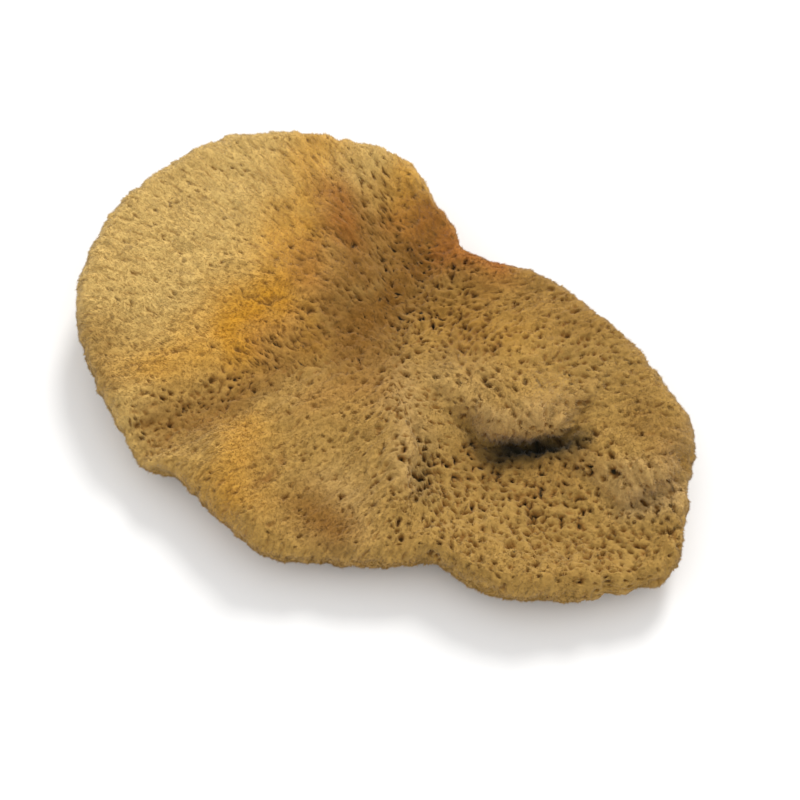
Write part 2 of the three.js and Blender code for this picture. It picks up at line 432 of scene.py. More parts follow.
# Lattices of pits: the spacing and half a pit's length and width in millimetres, and the share that is floor.
SLITS = dict(spacing=3.6, long=1.9, wide=0.42, floor=0.3)
SMALL_PORES = dict(spacing=1.55, long=0.66, wide=0.54, floor=0.45)
LARGE_PORES = dict(spacing=2.1, long=0.82, wide=0.66, floor=0.5)
TUFTS = dict(spacing=1.15, long=1.3, wide=0.5, floor=0.0)

# A pit is off its cell's middle by up to half this share of the spacing. Its size and strength are random:
# the least, and how much may be added.
PIT_JITTER = 0.8
PIT_SIZE, PIT_SIZE_SPREAD = 0.55, 0.75
PIT_STRENGTH, PIT_STRENGTH_SPREAD = 0.55, 0.45

# Depths in millimetres, how much painted shade a slit gets, and how far and over what size of cell the edges
# wander.
SLIT_DEPTH, SMALL_PORE_DEPTH, LARGE_PORE_DEPTH = 0.45, 1.0, 1.7
SLIT_SHADE = 0.36
PORE_WANDER, PORE_WANDER_SIZE = 0.55, 1.5
TUFT_WANDER, TUFT_WANDER_SIZE = 0.4, 1.7


def pits(u, v, seed, chance, spacing, long, wide, floor):
    """Scattered pits drawn out along the growth, one in each cell of a jittered lattice, there by chance.
    Gives the pit's strength on its floor and falls by a smooth step to 0 at its edge."""
    i0, j0 = np.floor(u / spacing), np.floor(v / spacing)
    deepest = np.zeros_like(u)
    for di in (-1, 0, 1):
        for dj in (-1, 0, 1):
            i, j = i0 + di, j0 + dj
            zero = np.zeros_like(i)
            cu = (i + 0.5 + PIT_JITTER * (hashed(i, j, zero, seed) - 0.5)) * spacing
            cv = (j + 0.5 + PIT_JITTER * (hashed(i, j, zero + 1, seed) - 0.5)) * spacing
            gu, gv = growth(cu, cv)
            size = PIT_SIZE + PIT_SIZE_SPREAD * hashed(i, j, zero + 2, seed)
            along = ((u - cu) * gu + (v - cv) * gv) / (long * size)
            across = ((v - cv) * gu - (u - cu) * gv) / (wide * size)
            shape = 1.0 - ramp(np.hypot(along, across), floor, 1.0)
            there = hashed(i, j, zero + 3, seed) < chance
            strength = PIT_STRENGTH + PIT_STRENGTH_SPREAD * hashed(i, j, zero + 4, seed)
            deepest = np.maximum(deepest, shape * there * strength)
    return deepest


def pores(u, v, edge, upper):
    """Depth in millimetres of the pores, and the painted shade in them: slits on the velvet, small pits where
    the skin is close, and wide pores where it is coarse. Small and wide ones are fewer at the rim."""
    coarse, close, velvet = regions(u, v, edge, upper)
    inside = 1.0 - 0.7 * ramp(edge, 0.93, 0.99)
    slit_chance = (0.4 + 0.5 * ramp(edge, 0.45, 0.85)) * velvet
    small_chance = (0.3 - 0.18 * velvet + 0.6 * close + 0.25 * coarse) * inside
    large_chance = (0.95 * coarse + 0.2 * close) * inside
    wu, wv = wander(u, v, PORE_WANDER, PORE_WANDER_SIZE, 64)
    slits = pits(wu, wv, 61, slit_chance, **SLITS)
    small = pits(wu, wv, 62, small_chance, **SMALL_PORES)
    large = pits(wu, wv, 63, large_chance, **LARGE_PORES)
    depth = SLIT_DEPTH * slits + SMALL_PORE_DEPTH * small + LARGE_PORE_DEPTH * large
    darkest = strongest(u, v, DARKEST_PORE_SHADE)
    dark = (0.9 + 0.6 * darkest) * np.maximum((0.5 + 0.5 * close) * small, large)
    return depth, np.clip(np.maximum(SLIT_SHADE * slits, dark), 0.0, 1.0)


def tufts(u, v):
    """How strongly each place is in a tuft of fibres: most in a tuft's middle, falling to 0 in the gaps."""
    wu, wv = wander(u, v, TUFT_WANDER, TUFT_WANDER_SIZE, 101)
    return pits(wu, wv, 103, 1.0, **TUFTS)


# ---- The fine relief ----

# Furrows: start, end, bow, width, depth.
CRACKS = (
    ((-22, -40), (-24, -52), 1.0, 0.6, 1.2), ((-26, -44), (-27, -52), -0.6, 0.5, 1.0),
    ((-2, -28), (5, -44), 1.5, 0.8, 0.9), ((-30, 42), (-24, 38), 0.6, 0.7, 1.3),
    ((-26, 47), (-21, 43), 0.5, 0.6, 1.3), ((-42, -5), (-34, 15), 2.2, 0.5, 1.0),
    ((-40, -9), (-30, 5), -1.0, 0.5, 1.0), ((-28, -16), (-26, -34), 1.0, 0.6, 0.8),
)
CRACK_WANDER, CRACK_WANDER_SIZE = 1.4, 4.5
CRACK_SHAKE, CRACK_SHAKE_SIZE = 0.5, 1.5

# A low oval bump: start, end, width, height.
OVAL_BUMP = ((-39, 24), (-35.5, 27.5), 1.7, 0.9)

# The height in millimetres of each kind of relief: what is everywhere, and what each kind of place adds.
WAVES, RIPPLES, COARSE_RIPPLES = 0.8, 0.3, 0.3
PUCKERS, NOSE_PUCKERS, OPEN_PUCKERS, RIM_PUCKERS = 0.2, 0.5, 0.32, 0.35
KNOBS, COARSE_KNOBS, CLOSE_KNOBS, SMALL_KNOBS = 0.15, 0.5, 0.25, 0.18
RIM_KNOBS, NOSE_KNOBS = 0.5, 0.4
TUFT_RISE = 0.4
UNDER_RIBS = 0.7


def cracks(u, v):
    """The furrows' depth. They wander, break into short lengths, and run out at their ends."""
    wu, wv = wander(u, v, CRACK_WANDER, CRACK_WANDER_SIZE, 68)
    wu = wu + CRACK_SHAKE * flat_noise(u, v, CRACK_SHAKE_SIZE, 66)
    wv = wv + CRACK_SHAKE * flat_noise(u, v, CRACK_SHAKE_SIZE, 67)
    broken = ramp(flat_noise(u, v, 2.2, 70), -0.6, 0.3)
    total = np.zeros_like(u)
    for start, end, bow, width, depth in CRACKS:
        shape, _, share = stroke(wu, wv, start, end, width, bow)
        total = np.maximum(total, depth * shape * np.sin(np.pi * share) * broken)
    return total


def fine_height(points, u, v, edge, upper):
    """The height in millimetres that the skin's own relief adds along its normal: broad waves, puckers drawn
    out along the growth, knobs and tufts, less the pores and, above, the furrows. The lower skin has ribs."""
    places = np.moveaxis(points, -1, 0)
    coarse, close, velvet = regions(u, v, edge, upper)
    nose = on_noses(u, v) if upper else 0.0
    depth, _ = pores(u, v, edge, upper)
    waves = WAVES * noise(places, 15.0, 21) + (RIPPLES + COARSE_RIPPLES * coarse) * noise(places, 6.0, 25)
    puckers = (PUCKERS + NOSE_PUCKERS * nose) * streaks(u, v, 1.5, 5.0, 31)
    puckers = puckers + OPEN_PUCKERS * (1.0 - velvet) * streaks(u, v, 1.1, 2.5, 32)
    knobs = (KNOBS + COARSE_KNOBS * coarse + CLOSE_KNOBS * close) * noise(places, 2.4, 51)
    knobs = knobs + SMALL_KNOBS * noise(places, 1.3, 52)
    knobs = knobs + (RIM_KNOBS * ramp(edge, 0.88, 1.0) + NOSE_KNOBS * nose) * noise(places, 2.8, 53)
    knobs = knobs + TUFT_RISE * (1.0 - 0.8 * velvet) * tufts(u, v)
    knobs = knobs + RIM_PUCKERS * ramp(edge, 0.84, 1.0) * streaks(u, v, 1.5, 6.0, 54)
    if not upper:
        ribs = UNDER_RIBS * streaks(u, v, 3.0, 16.0, 35) * (1.0 - ramp(edge, *UNDER_ENDS))
        return waves + puckers + knobs + ribs - depth
    start, end, width, rise = OVAL_BUMP
    bump = rise * stroke(u, v, start, end, width)[0]
    return waves + puckers + knobs + bump - depth - cracks(u, v)


# ---- Stains, painted shade and painted light ----

# Soft strokes in the sheet: start, end, width, strength.
GOLD = (((-58, 35), (-45, 18), 9, 0.6), ((-45, 18), (-37, -2), 10, 0.75), ((-37, -2), (-33, -18), 9, 1.0),
        ((-30, 2), (-22, -3), 6, 0.6), ((-34, -18), (-36, -36), 9, 0.6), ((-12, -33), (3, -47), 8, 0.5),
        ((-36, 46), (-26, 40), 8, 0.6), ((2, 26), (16, 34), 8, 0.3))
RUST = (((-14, 42), (0, 43), 6, 0.8), ((-44, 31), (-35, 23), 6, 0.6), ((-30, 38), (-20, 42), 6, 0.45),
        ((-38, 14), (-34, 8), 6, 0.35), ((-30, -2), (-28, -12), 4, 0.3), ((0, -2), (-6, -12), 8, 0.2))
BROWN = (((-18, 32), (-14, 8), 13, 1.0), ((-36, 30), (-10, 26), 11, 0.8), ((-30, 27), (-24, 10), 9, 0.85),
         ((-42, 28), (-34, 26), 6, 0.5), ((-38, 14), (-34, 6), 6, 0.4),
         ((-20, 8), (-23, -46), 6, 0.7), ((-8, 32), (6, 28), 9, 0.5), ((-30, 44), (-18, 46), 6, 0.25),
         ((17, -37), (24, -36), 6, 0.8), ((-52, -44), (-40, -48), 8, 0.3),
         ((34, 6), (50, 16), 7, 0.3), ((12, 46), (26, 48), 8, 0.35), ((56, 38), (66, 36), 6, 0.35))
TAN = (((-50, -46), (-34, -34), 12, 0.5), ((-34, 44), (-18, 44), 10, 0.6))
# The dull strokes are a pale dull colour; the last is painted light on the side fold's nose, which faces away
# from the light.
DULL_AND_NOSE_LIGHT = (((2, 8), (26, -14), 6, 0.5), ((18, -28), (25, -34), 8, 0.4), ((6, 10), (14, 16), 8, 0.3),
        ((66, 22), (74, 30), 5, 0.9))

# Where along the sheet straw turns to tan.
TAN_FROM, TAN_TO = -46.0, 2.0

STAIN_WANDER, STAIN_WANDER_SIZE = 4.5, 11.0
MOTTLING, MOTTLING_SIZE = 0.18, 4.0
# The noses' pale dull colour, which is also painted light on their fronts.
NOSE_DULL_AND_LIGHT = 0.6
UNDER_FADE, UNDER_BROWN, UNDER_TAN = 0.6, 0.3, 0.5
# Painted shade in the furrows.
CRACK_SHADE = 0.55


def stain_masks(u, v, edge, upper):
    """The share of each stain at each place: soft strokes with edges that wander, mottled by noise. The sheet
    turns from straw to tan by a smooth step along it, and the noses get the pale dull colour, which is also
    painted light on their fronts. On the lower skin the strokes are weaker, and it has blotches of brown and
    tan."""
    pu = u + STAIN_WANDER * layered(u, v, STAIN_WANDER_SIZE, 71)
    pv = v + STAIN_WANDER * layered(u, v, STAIN_WANDER_SIZE, 72)
    mottle = 1.0 + MOTTLING * layered(u, v, MOTTLING_SIZE, 73)
    gold, rust, brown, tan, dull_and_nose_light = (strongest(pu, pv, s) * mottle for s in (GOLD, RUST, BROWN, TAN, DULL_AND_NOSE_LIGHT))
    tan = np.maximum(tan, ramp(pu, TAN_FROM, TAN_TO))
    if upper:
        dull_and_nose_light = np.maximum(dull_and_nose_light, NOSE_DULL_AND_LIGHT * on_noses(u, v))
    else:
        under = 1.0 - ramp(edge, *UNDER_ENDS)
        gold, rust, brown, dull_and_nose_light = (mask * (1.0 - UNDER_FADE * under) for mask in (gold, rust, brown, dull_and_nose_light))
        brown = brown + UNDER_BROWN * under * (1.0 + layered(u, v, 18.0, 74))
        tan = tan + under * (UNDER_TAN + UNDER_TAN * layered(u, v, 12.0, 75))
    return [np.clip(mask, 0.0, 1.0) for mask in (gold, rust, brown, tan, dull_and_nose_light)]


def skin_stains_and_shade(u, v, edge, upper):
    """What the colour needs at each place: the shares of gold, rust, brown and tan; the painted shade in pores
    and furrows; how dull it is, which on the noses is also painted light; and the painted shade in the creases."""
    gold, rust, brown, tan, dull_and_nose_light = stain_masks(u, v, edge, upper)
    _, dark = pores(u, v, edge, upper)
    # Painted shade in the creases under the folds.
    shade = painted_crease_shade(u, v) if upper else np.zeros_like(u)
    line = cracks(u, v) if upper else np.zeros_like(u)
    pore_and_furrow_shade = np.clip(np.maximum(dark, CRACK_SHADE * line), 0.0, 1.0)
    return (gold, rust, brown, tan), (pore_and_furrow_shade, dull_and_nose_light, shade)


# ---- Putting meshes in the scene ----

def set_masks(mesh, name, channels):
    """Stores four masks as one colour for each point."""
    layer = mesh.attributes.new(name, "FLOAT_COLOR", "POINT")
    values = np.stack([np.ravel(channel) for channel in channels], -1)
    layer.data.foreach_set("color", values.astype(np.float32).ravel())


def set_uv(mesh, uv):
    """Gives the mesh a UV map from one place for each point."""
    layer = mesh.uv_layers.new(name="OFBake")
    corner = np.empty(len(mesh.loops), np.int32)
    mesh.loops.foreach_get("vertex_index", corner)
    layer.data.foreach_set("uv", uv[corner].astype(np.float32).ravel())


def put_piece(name, points, faces, material):
    """Makes a smooth-shaded mesh object from points in millimetres and lists of faces, each list with its own
    number of corners."""
    mesh = bpy.data.meshes.new(name)
    corners = np.concatenate([f.ravel() for f in faces])
    sizes = np.concatenate([np.full(len(f), f.shape[1]) for f in faces])
    mesh.vertices.add(len(points))
    mesh.vertices.foreach_set("co", to_metres(points).astype(np.float32).ravel())
    mesh.loops.add(len(corners))
    mesh.loops.foreach_set("vertex_index", corners.astype(np.int32))
    mesh.polygons.add(len(sizes))
    mesh.polygons.foreach_set("loop_start", (np.cumsum(sizes) - sizes).astype(np.int32))
    mesh.update(calc_edges=True)
    mesh.polygons.foreach_set("use_smooth", np.ones(len(sizes), bool))
    mesh.materials.append(material)
    piece = bpy.data.objects.new(name, mesh)
    bpy.context.scene.collection.objects.link(piece)
    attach(piece, "root")
    return piece


# ---- Materials ----

def linear(red, green, blue):
    """A colour given as it looks on a screen, 0 to 255, as the shader takes it."""
    channels = [c / 255.0 for c in (red, green, blue)]
    return [c / 12.92 if c <= 0.04045 else ((c + 0.055) / 1.055) ** 2.4 for c in channels] + [1.0]


STRAW = linear(206, 172, 102)
TAN_FIBRE = linear(174, 137, 70)
GOLDEN = linear(198, 142, 40)
RUSTY = linear(162, 95, 28)
BROWNISH = linear(130, 88, 28)
# A pale dull colour, also painted light on the folds' noses.
DULLISH_AND_NOSE_LIGHT = linear(197, 162, 103)
# Painted shade: brown in the shallower pores and furrows, near black in the deepest.
PORE_SHADE_BROWN = linear(146, 104, 46)
PORE_SHADE_DARK = linear(34, 30, 15)
# Painted shade: near black in the creases under the folds.
SHADE_DARK = linear(26, 25, 12)

# How light the fibre is at the lowest tone and at the highest.
TONE_LIGHT = (0.6, 1.3)

# The grain: cells in a metre, the mottle's share of that, the noise between which it grows, and its most.
GRAIN_SCALE = 1400.0
MOTTLE_SCALE_SHARE = 0.18
MOTTLE_NOISE = (0.48, 0.75)
MOTTLE_MOST = 0.22
GRAIN_DETAIL = 4.0

SPECULAR = 0.2
SHEEN_ROUGHNESS = 0.5
SKIN_FINISH = dict(bump_distance=0.3 * MM, roughness=0.95, sheen=0.1)
PILE_FINISH = dict(bump_distance=0.0, roughness=0.9, sheen=0.15)


def new_group(name, inputs, outputs):
    """An empty shader node group with these sockets."""
    group = bpy.data.node_groups.new(name, "ShaderNodeTree")
    for socket, kind in inputs:
        group.interface.new_socket(socket, in_out="INPUT", socket_type=kind)
    for socket, kind in outputs:
        group.interface.new_socket(socket, in_out="OUTPUT", socket_type=kind)
    return group, group.nodes.new("NodeGroupInput"), group.nodes.new("NodeGroupOutput")


def add_node(tree, kind, inputs, **settings):
    """A shader node with these settings. Each input, by name or number, is linked to a socket or given a
    value."""
    node = tree.nodes.new(kind)
    for setting, value in settings.items():
        setattr(node, setting, value)
    for key, value in inputs.items():
        if isinstance(value, bpy.types.NodeSocket):
            tree.links.new(value, node.inputs[key])
        else:
            node.inputs[key].default_value = value
    return node


def mix_colour(tree, factor, under, over):
    """A colour mix: over laid on under by factor."""
    return add_node(tree, "ShaderNodeMix", {0: factor, 6: under, 7: over}, data_type="RGBA").outputs[2]


def doubled(tree, value, plus):
    """Twice the value, plus a number, kept between 0 and 1."""
    inputs = {0: value, 1: 2.0, 2: plus}
    return add_node(tree, "ShaderNodeMath", inputs, operation="MULTIPLY_ADD", use_clamp=True).outputs[0]


def fibre_stains_and_shade_group():
    """The colour of the fibre from the masks that the mesh carries, with a fine mottle: stains laid one on
    another, the dull one also painted light on the noses, made lighter or darker by tone, which carries painted
    shade and light too, then painted shade, brown to dark in the pores and furrows and dark in the creases."""
    group, given, out = new_group(
        "fibre_stains_and_painted_shade",
        [("Stains", "NodeSocketColor"), ("Tan", "NodeSocketFloat"), ("ShadeAndMarks", "NodeSocketColor"),
         ("Tone", "NodeSocketFloat"), ("Mottle", "NodeSocketFloat")],
        [("Colour", "NodeSocketColor")],
    )
    stains, shade_and_marks = (add_node(group, "ShaderNodeSeparateColor", {0: given.outputs[masks]})
                     for masks in ("Stains", "ShadeAndMarks"))
    gold, rust, brown = stains.outputs
    pore_and_furrow_shade, dull_and_nose_light, shade = shade_and_marks.outputs
    colour = STRAW
    for mask, over in ((given.outputs["Tan"], TAN_FIBRE), (gold, GOLDEN), (dull_and_nose_light, DULLISH_AND_NOSE_LIGHT), (brown, BROWNISH),
                       (rust, RUSTY), (given.outputs["Mottle"], BROWNISH)):
        colour = mix_colour(group, mask, colour, over)
    darkest, lightest = TONE_LIGHT
    tone_inputs = {"Value": given.outputs["Tone"], "To Min": darkest, "To Max": lightest}
    light = add_node(group, "ShaderNodeMapRange", tone_inputs).outputs[0]
    colour = add_node(group, "ShaderNodeVectorMath", {0: colour, 3: light}, operation="SCALE").outputs[0]
    # Painted shade: brown, then near black, in the pores and furrows.
    colour = mix_colour(group, doubled(group, pore_and_furrow_shade, 0.0), colour, PORE_SHADE_BROWN)
    colour = mix_colour(group, doubled(group, pore_and_furrow_shade, -1.0), colour, PORE_SHADE_DARK)
    # Painted shade, near black, in the creases under the folds.
    colour = mix_colour(group, shade, colour, SHADE_DARK)
    group.links.new(colour, out.inputs["Colour"])
    return group


def fibre_grain_group():
    """Fine grain of the fibre: a height for bump and a mottle mask, from noise at two scales."""
    group, given, out = new_group(
        "fibre_grain",
        [("Vector", "NodeSocketVector"), ("Scale", "NodeSocketFloat")],
        [("Height", "NodeSocketFloat"), ("Mottle", "NodeSocketFloat")],
    )
    scale = given.outputs["Scale"]
    broad_scale = add_node(group, "ShaderNodeMath", {0: scale, 1: MOTTLE_SCALE_SHARE}, operation="MULTIPLY")
    place = {"Vector": given.outputs["Vector"], "Detail": GRAIN_DETAIL}
    fine, broad = (add_node(group, "ShaderNodeTexNoise", {**place, "Scale": cells}).outputs[0]
                   for cells in (scale, broad_scale.outputs[0]))
    least, most = MOTTLE_NOISE
    mottle_inputs = {"Value": broad, "From Min": least, "From Max": most, "To Max": MOTTLE_MOST}
    mottle = add_node(group, "ShaderNodeMapRange", mottle_inputs)
    group.links.new(fine, out.inputs["Height"])
    group.links.new(mottle.outputs[0], out.inputs["Mottle"])
    return group


def sponge_material(name, stains_and_shade_group, grain_group, bump_distance, roughness, sheen):
    """A fibre material: colour from the stains, the painted shade and light, and grain, matte, with a little
    sheen.
    The grain is also its bump, unless the bump's distance is nothing."""
    material = bpy.data.materials.new(name)
    material.use_nodes = True
    tree = material.node_tree
    tree.nodes.clear()
    place = tree.nodes.new("ShaderNodeTexCoord")
    grain_inputs = {"Vector": place.outputs["Object"], "Scale": GRAIN_SCALE}
    grain = add_node(tree, "ShaderNodeGroup", grain_inputs, node_tree=grain_group)
    stains_and_shade = add_node(tree, "ShaderNodeGroup", {"Mottle": grain.outputs["Mottle"]}, node_tree=stains_and_shade_group)
    for attribute, colour_input, alpha_input in (("stains", "Stains", "Tan"), ("shade_and_marks", "ShadeAndMarks", "Tone")):
        reader = add_node(tree, "ShaderNodeAttribute", {}, attribute_name=attribute)
        tree.links.new(reader.outputs["Color"], stains_and_shade.inputs[colour_input])
        tree.links.new(reader.outputs["Alpha"], stains_and_shade.inputs[alpha_input])
    shader = add_node(tree, "ShaderNodeBsdfPrincipled", {
        "Base Color": stains_and_shade.outputs["Colour"], "Roughness": roughness, "Specular IOR Level": SPECULAR,
        "Sheen Weight": sheen, "Sheen Roughness": SHEEN_ROUGHNESS,
    })
    if bump_distance:
        bump_inputs = {"Distance": bump_distance, "Height": grain.outputs["Height"]}
        bump = add_node(tree, "ShaderNodeBump", bump_inputs)
        tree.links.new(bump.outputs[0], shader.inputs["Normal"])
    add_node(tree, "ShaderNodeOutputMaterial", {0: shader.outputs[0]})
    return material


# ---- The body ----

UV_MARGIN = 0.01
# Painted shade: the skin is darker in the gaps between tufts and lighter in their middles.
SKIN_TONE, SKIN_STREAKS, SKIN_TUFT_GAP_SHADE, SKIN_VELVET = 0.36, 0.15, 0.25, 0.15


def frame_of(points, u, v, outward):
    """Unit normals of a grid of points, and unit tangents along the growth: the step over the grid that moves
    along the growth in the unrolled sheet, taken on the surface."""
    pi, pj = np.gradient(points, axis=0), np.gradient(points, axis=1)
    normal = outward * np.cross(pi, pj)
    normal /= np.linalg.norm(normal, axis=-1, keepdims=True) + 1e-12
    ui, uj, vi, vj = (*np.gradient(u), *np.gradient(v))
    gu, gv = growth(u, v)
    step = ui * vj - uj * vi
    flow = ((gu * vj - gv * uj) / step)[..., None] * pi + ((gv * ui - gu * vi) / step)[..., None] * pj
    flow /= np.linalg.norm(flow, axis=-1, keepdims=True) + 1e-12
    return normal, flow


def finished_skin(cells, upper):
    """A skin with its fine relief."""
    a, b = lay_grid(cells)
    _, _, u, v, _, edge = plan(a, b)
    points = skin_points(a, b, upper)
    outward = 1.0 if upper else -1.0
    normals, _ = frame_of(points, u, v, outward)
    points = points + normals * fine_height(points, u, v, edge, upper)[..., None]
    points[..., 2] = np.maximum(points[..., 2], 0.0)
    normals, flow = frame_of(points, u, v, outward)
    return Skin(points, normals, flow, u, v, edge, a, b)


def body_faces():
    """The faces of both skins, the points numbered upper grid first, then lower. The lower grid has half the
    cells each way, and its border cells take every border point of the upper one, so the rim has no gap: they
    have five corners, and the four at the grid's corners have six."""
    n = UPPER_CELLS + 1
    i, j = np.meshgrid(np.arange(UPPER_CELLS), np.arange(UPPER_CELLS), indexing="ij")
    corner = (i * n + j).ravel()
    upper = np.stack([corner, corner + n, corner + n + 1, corner + 1], -1)
    number = n * n + np.arange((LOWER_CELLS + 1) ** 2).reshape(LOWER_CELLS + 1, -1)
    every_second = np.arange(0, n, 2)
    number[0, :] = every_second
    number[-1, :] = UPPER_CELLS * n + every_second
    number[:, 0] = every_second * n
    number[:, -1] = every_second * n + UPPER_CELLS
    q = np.stack([number[:-1, :-1], number[:-1, 1:], number[1:, 1:], number[1:, :-1]], -1)
    inner = q[1:-1, 1:-1].reshape(-1, 4)
    first, last, left, right = q[0, 1:-1], q[-1, 1:-1], q[1:-1, 0], q[1:-1, -1]
    five = np.concatenate([
        np.column_stack([first[:, 0], first[:, 0] + 1, first[:, 1:]]),
        np.column_stack([last[:, :3], last[:, 2] - 1, last[:, 3]]),
        np.column_stack([left, left[:, 3] - n]),
        np.column_stack([right[:, :2], right[:, 1] + n, right[:, 2:]]),
    ])
    p, r, s, t = q[0, 0], q[0, -1], q[-1, -1], q[-1, 0]
    six = np.array([
        [p[0], p[0] + 1, p[1], p[2], p[3], p[0] + n],
        [r[0], r[0] + 1, r[1], r[1] + n, r[2], r[3]],
        [s[0], s[1], s[1] + n, s[2], s[2] - 1, s[3]],
        [t[0], t[1], t[2], t[2] - 1, t[3], t[0] + n],
    ])
    return upper, inner, five, six


def square_uv(a, b, upper):
    """The upper skin's square takes the lower half of the UV square, and the lower skin's the upper half,
    each with a margin."""
    start = UV_MARGIN if upper else 0.5 + UV_MARGIN
    wide, high = 1.0 - 2 * UV_MARGIN, 0.5 - 2 * UV_MARGIN
    return np.stack([UV_MARGIN + wide * (a + 1) / 2, start + high * (b + 1) / 2], -1)


def skin_tone(skin, upper):
    """How light the skin is: streaked along the growth, lighter on the velvet, and lighter in the tufts with
    painted shade in the gaps between them.
    """
    _, _, velvet = regions(skin.u, skin.v, skin.edge, upper)
    return (SKIN_TONE + SKIN_STREAKS * streaks(skin.u, skin.v, 0.9, 4.0, 91)
            + SKIN_TUFT_GAP_SHADE * tufts(skin.u, skin.v) + SKIN_VELVET * velvet)


def build_body(upper, lower, material):
    """The closed body in one piece. The lower grid's border points aren't used: the upper grid's are."""
    inside = np.ones((LOWER_CELLS + 1, LOWER_CELLS + 1), bool)
    inside[[0, -1], :] = False
    inside[:, [0, -1]] = False
    used = np.concatenate([np.ones(upper.a.size, bool), inside.ravel()])
    renumber = np.cumsum(used) - 1

    def joined(pair):
        """The two skins' values for the points that are used."""
        return np.concatenate([grid.reshape(-1, *grid.shape[2:]) for grid in pair])[used]

    faces = [renumber[some] for some in body_faces()]
    body = put_piece("sponge_body", joined((upper.points, lower.points)), faces, material)
    upper_stains, upper_shade_and_marks = skin_stains_and_shade(upper.u, upper.v, upper.edge, True)
    lower_stains, lower_shade_and_marks = skin_stains_and_shade(lower.u, lower.v, lower.edge, False)
    tone = joined((skin_tone(upper, True), skin_tone(lower, False)))
    set_masks(body.data, "stains", [joined(pair) for pair in zip(upper_stains, lower_stains)])
    set_masks(body.data, "shade_and_marks", [*(joined(pair) for pair in zip(upper_shade_and_marks, lower_shade_and_marks)), tone])
    set_uv(body.data, joined((square_uv(upper.a, upper.b, True), square_uv(lower.a, lower.b, False))))
    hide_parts("sponge")


# ---- The pile ----

# The share of its fibres that a pore in the fullest painted shade loses; how many millimetres up they begin on
# the lower skin, and how much denser they are near its rim; how deep in the skin their feet are.
PORE_BARENESS = 0.95
LOWEST_FIBRE = 0.3
UNDER_RIM_EXTRA = 1.5
FOOT_DEPTH = 0.2

# How fibres go astray: in tilt, all ways, and sideways with their neighbours.
STRAY_TILT, STRAY_AIM, SWIRL = 0.16, 0.09, 0.2

# Lengths and widths in millimetres: everywhere, and what each kind of place adds.
LENGTH, OPEN_LENGTH, VELVET_LENGTH, NOSE_LENGTH = 0.45, -0.15, 0.65, 0.3
SHORTEST, LENGTH_SPREAD = 0.6, 0.6
PIT_SHORTENING = 0.7
UNDER_GAP, UNDER_SHORTEST = 0.1, 0.15
WIDTH, WIDTH_SPREAD, COARSE_WIDTH, VELVET_WIDTH, UNDER_WIDTH = 0.085, 0.03, 0.03, -0.01, 0.03

# How much less tufted the velvet is; how much longer fibres are in a tuft; how strong a tuft is where they have
# their plain length, and where they have their plain tone, between the tufts' painted shade and lighter
# middles.
VELVET_EVENNESS = 0.6
TUFT_LENGTH, OPEN_TUFT_LENGTH = 0.6, 0.6
PLAIN_LENGTH_AT, PLAIN_TONE_AT = 0.35, 0.42

# The lean from upright in radians, and in millimetres how far tips are drawn into clumps and locks.
LEAN, VELVET_LEAN, COARSE_LEAN = 0.75, 0.45, -0.3
CLUMP, VELVET_CLUMP, VELVET_LOCK = 0.2, -0.12, 0.3

# The tone halfway up a fibre and how it varies; the painted shade in the gaps between tufts and the painted
# light on the folds' noses; and the painted shade at its foot: how much lighter its tip is than that and its
# foot darker.
TONE, STREAK_TONE, VELVET_STREAK_TONE, STRAY_TONE = 0.5, 0.16, 0.1, 0.03
TUFT_GAP_SHADE, OPEN_TUFT_GAP_SHADE, NOSE_PAINTED_LIGHT = 0.5, 0.4, 0.2
FOOT_SHADE, VELVET_FOOT_SHADE = 0.12, -0.08

# The side of a fibre's small square in the UV map.
FIBRE_UV = 0.0012


def sample(grid, i, j):
    """Values between a grid's points, mixed from the four round each place."""
    i0, j0 = np.floor(i).astype(int), np.floor(j).astype(int)
    fi, fj = i - i0, j - j0
    if grid.ndim == 3:
        fi, fj = fi[:, None], fj[:, None]
    return ((1 - fi) * (1 - fj) * grid[i0, j0] + fi * (1 - fj) * grid[i0 + 1, j0]
            + (1 - fi) * fj * grid[i0, j0 + 1] + fi * fj * grid[i0 + 1, j0 + 1])


def plant(rng, count, skin, upper):
    """Random places on a skin, as fractional row and column: cells are drawn by their area, twice as many as
    are needed, and most of the places inside a pore are passed over. None is on the face that lies down."""
    along = skin.points[1:, :-1] - skin.points[:-1, :-1]
    across = skin.points[:-1, 1:] - skin.points[:-1, :-1]
    weights = np.linalg.norm(np.cross(along, across), axis=-1)
    if not upper:
        near_rim = ramp(skin.edge[:-1, :-1], 0.7, 0.95)
        weights = weights * (skin.points[:-1, :-1, 2] > LOWEST_FIBRE) * (1.0 + UNDER_RIM_EXTRA * near_rim)
    weights = weights.ravel() / weights.sum()
    cell = rng.choice(len(weights), size=2 * count, p=weights)
    rows = skin.points.shape[1] - 1
    i, j = cell // rows + rng.random(2 * count), cell % rows + rng.random(2 * count)
    _, dark = pores(sample(skin.u, i, j), sample(skin.v, i, j), sample(skin.edge, i, j), upper)
    kept = np.flatnonzero(rng.random(2 * count) > PORE_BARENESS * dark)[:count]
    return i[kept], j[kept]


